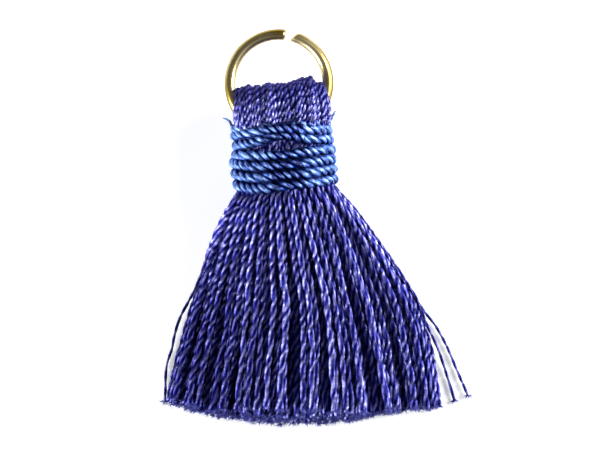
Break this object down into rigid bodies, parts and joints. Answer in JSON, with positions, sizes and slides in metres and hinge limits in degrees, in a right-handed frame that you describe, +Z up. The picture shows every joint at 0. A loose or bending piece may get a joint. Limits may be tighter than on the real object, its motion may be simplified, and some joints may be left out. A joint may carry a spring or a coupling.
{
  "type": "tassel",
  "caption": "Small silky tassel with a split jump ring, a folded yarn head, a cord-wound neck and a flared cut skirt, lying on its back.",
  "frame": {"origin": "on the surface that the tassel lies on, at the middle of the flat under the fourth turn of the binding", "axes": "+Y runs up the tassel from the skirt to the ring, +Z up from the surface through the neck, +X to the right seen from above"},
  "size_m": [0.0226, 0.0293, 0.0056],
  "materials": {
    "gold_wire": "polished pale gold",
    "yarn": "silky two-ply thread, deep blue",
    "binding_cord": "silky twisted cord, mid blue"
  },
  "bodies": {
    "root": {"jump_ring": "gold_wire", "yarn_bundle": "yarn", "binding": "binding_cord"}
  },
  "joints": []
}
